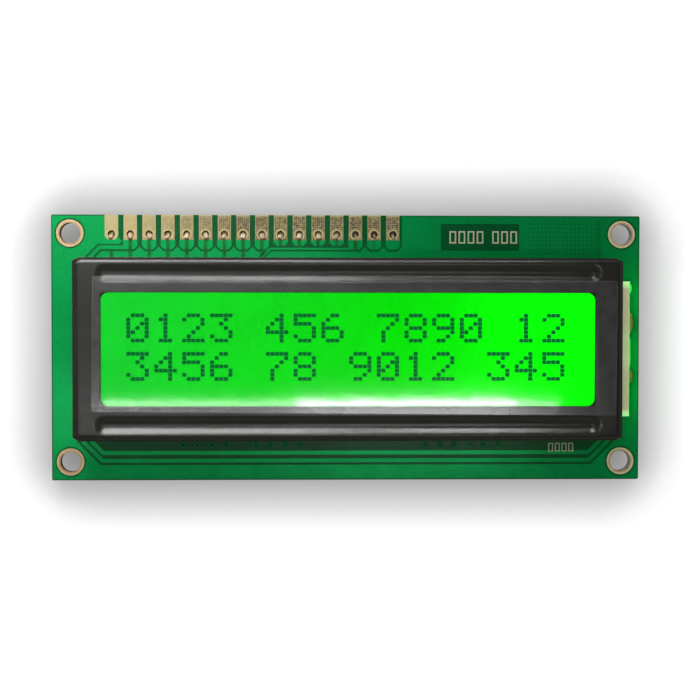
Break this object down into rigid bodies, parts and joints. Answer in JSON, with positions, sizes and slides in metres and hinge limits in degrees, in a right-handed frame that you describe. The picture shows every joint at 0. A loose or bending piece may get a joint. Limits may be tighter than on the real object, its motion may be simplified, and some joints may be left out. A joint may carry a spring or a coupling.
{
  "type": "character lcd module",
  "caption": "Character display module: green circuit board with a plated header edge, folded black metal bezel and backlit dot-matrix liquid crystal window.",
  "frame": {"origin": "under the centre of the four mounting holes, in the plane that the ends of the bezel's twisted tabs stand on", "axes": "+X along the board from the first header pad's end, +Y across the board towards the header pads, +Z out of the display's face"},
  "size_m": [0.08, 0.036, 0.0126],
  "materials": {
    "board": "green solder mask, glossy",
    "bezel": "satin black paint on steel sheet",
    "film": "clear glossy film",
    "polarizer": "grey-green polarizing film",
    "display_glass": "clear sheet glass",
    "seal": "cured glue",
    "liquid": "liquid crystal layer",
    "diffuser": "white diffusing film",
    "contact_strip": "layered elastomer",
    "backlight_board": "cream board",
    "backlight_frame": "cream moulded plastic",
    "light_block": "milky light-spreading resin",
    "light_chip": "light-emitting chip",
    "lead": "tinned lead",
    "solder": "solder with flux",
    "gold": "gold-plated copper",
    "resin": "black resin dome",
    "resistor": "black resistor with metal end caps",
    "capacitor": "brown capacitor with metal end caps"
  },
  "bodies": {
    "root": {"circuit_board": "board", "bezel": "bezel", "protective_film": "film", "front_polarizer": "polarizer", "front_glass": "display_glass", "cell_seal": "seal", "liquid_crystal": "liquid", "rear_glass": "display_glass", "rear_polarizer": "polarizer", "diffuser_film": "diffuser", "upper_contact_strip": "contact_strip", "lower_contact_strip": "contact_strip", "backlight_board": "backlight_board", "backlight_frame": "backlight_frame", "light_block": "light_block", "light_chip_1": "light_chip", "light_chip_2": "light_chip", "light_chip_3": "light_chip", "light_chip_4": "light_chip", "light_chip_5": "light_chip", "light_chip_6": "light_chip", "light_chip_7": "light_chip", "light_chip_8": "light_chip", "backlight_lead_1": "lead", "lead_solder_1": "solder", "chip_cover_1": "resin", "capacitor_1": "capacitor", "backlight_lead_2": "lead", "lead_solder_2": "solder", "chip_cover_2": "resin", "capacitor_2": "capacitor", "mounting_ring_1": "gold", "mounting_ring_2": "gold", "mounting_ring_3": "gold", "mounting_ring_4": "gold", "header_pad_01": "gold", "header_pad_02": "gold", "header_pad_03": "gold", "header_pad_04": "gold", "header_pad_05": "gold", "header_pad_06": "gold", "header_pad_07": "gold", "header_pad_08": "gold", "header_pad_09": "gold", "header_pad_10": "gold", "header_pad_11": "gold", "header_pad_12": "gold", "header_pad_13": "gold", "header_pad_14": "gold", "header_pad_15": "gold", "header_pad_16": "gold", "resistor_1": "resistor", "resistor_2": "resistor", "resistor_3": "resistor", "resistor_4": "resistor", "resistor_5": "resistor", "resistor_6": "resistor"}
  },
  "joints": []
}
